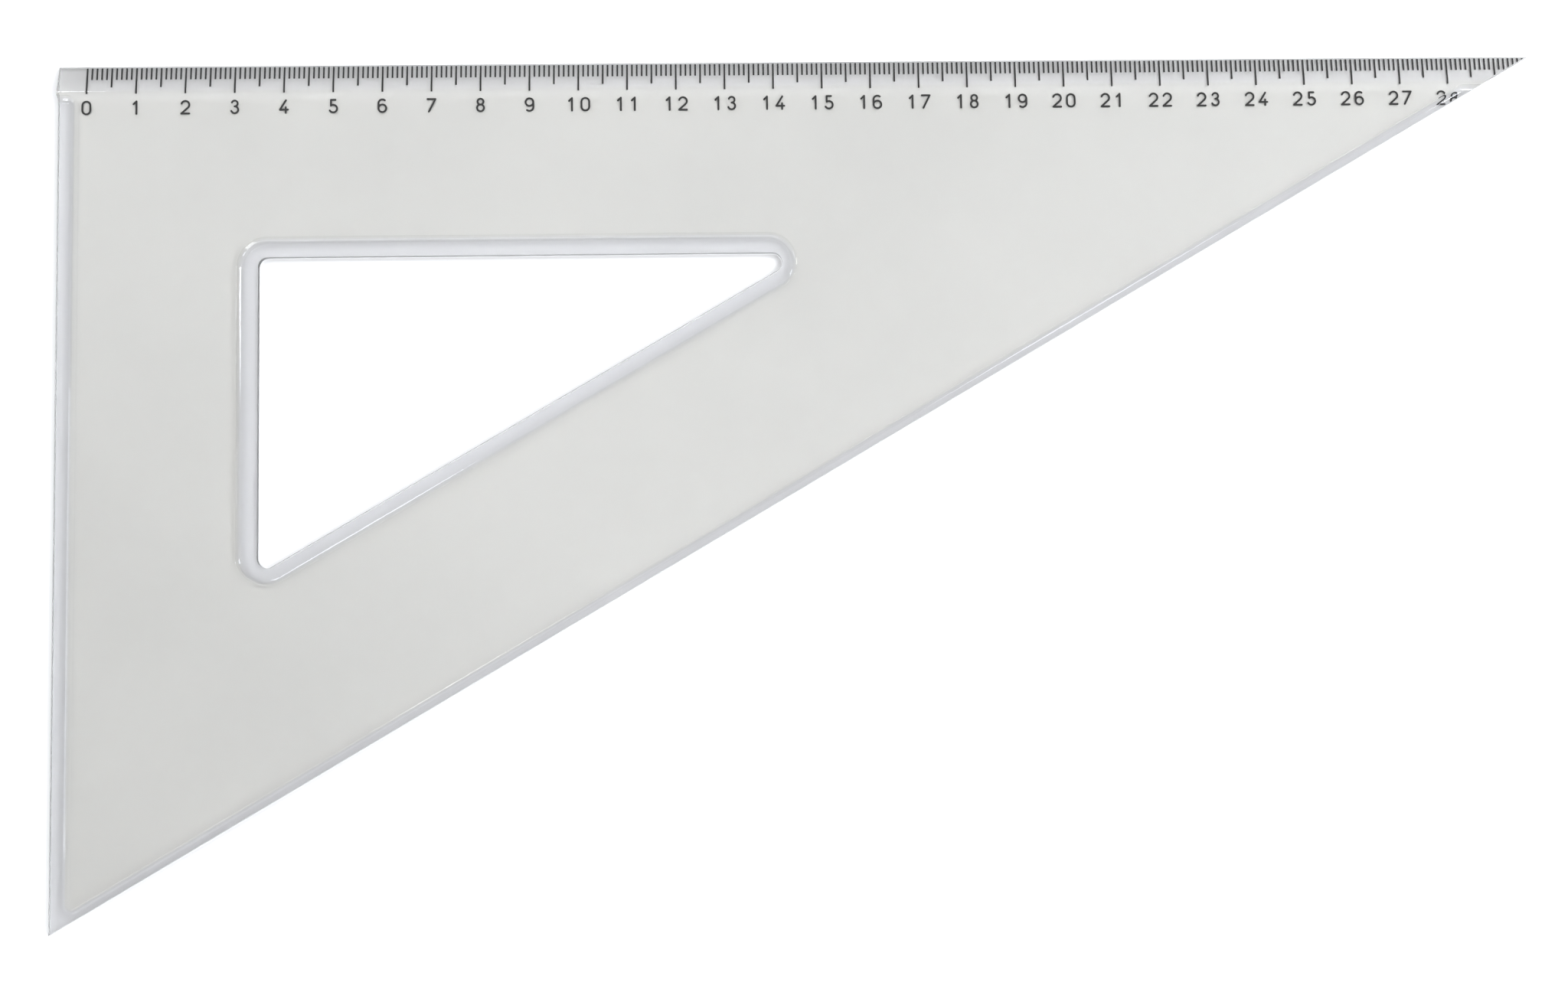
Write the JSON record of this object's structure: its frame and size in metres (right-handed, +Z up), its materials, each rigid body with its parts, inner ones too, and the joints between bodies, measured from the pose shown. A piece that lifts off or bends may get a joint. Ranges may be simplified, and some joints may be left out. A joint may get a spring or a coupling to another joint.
{
  "type": "drafting triangle",
  "caption": "Flat clear plastic drafting triangle with a bevelled centimetre scale along its long leg and a triangular cut-out.",
  "frame": {"origin": "right-angle corner of the outline, on the plane that the printed underside rests on", "axes": "+X along the scale edge from the right-angle corner to the tip, -Y down the short leg, +Z up"},
  "size_m": [0.3025, 0.1746, 0.0022],
  "materials": {
    "plate": "clear, polished",
    "ink": "matte stamped ink"
  },
  "bodies": {
    "root": {"plate": "plate", "centimetre_marks": "ink", "half_centimetre_marks": "ink", "millimetre_marks": "ink", "numeral_0": "ink", "numeral_1": "ink", "numeral_2": "ink", "numeral_3": "ink", "numeral_4": "ink", "numeral_5": "ink", "numeral_6": "ink", "numeral_7": "ink", "numeral_8": "ink", "numeral_9": "ink", "numeral_10": "ink", "numeral_11": "ink", "numeral_12": "ink", "numeral_13": "ink", "numeral_14": "ink", "numeral_15": "ink", "numeral_16": "ink", "numeral_17": "ink", "numeral_18": "ink", "numeral_19": "ink", "numeral_20": "ink", "numeral_21": "ink", "numeral_22": "ink", "numeral_23": "ink", "numeral_24": "ink", "numeral_25": "ink", "numeral_26": "ink", "numeral_27": "ink", "numeral_28": "ink"}
  },
  "joints": []
}
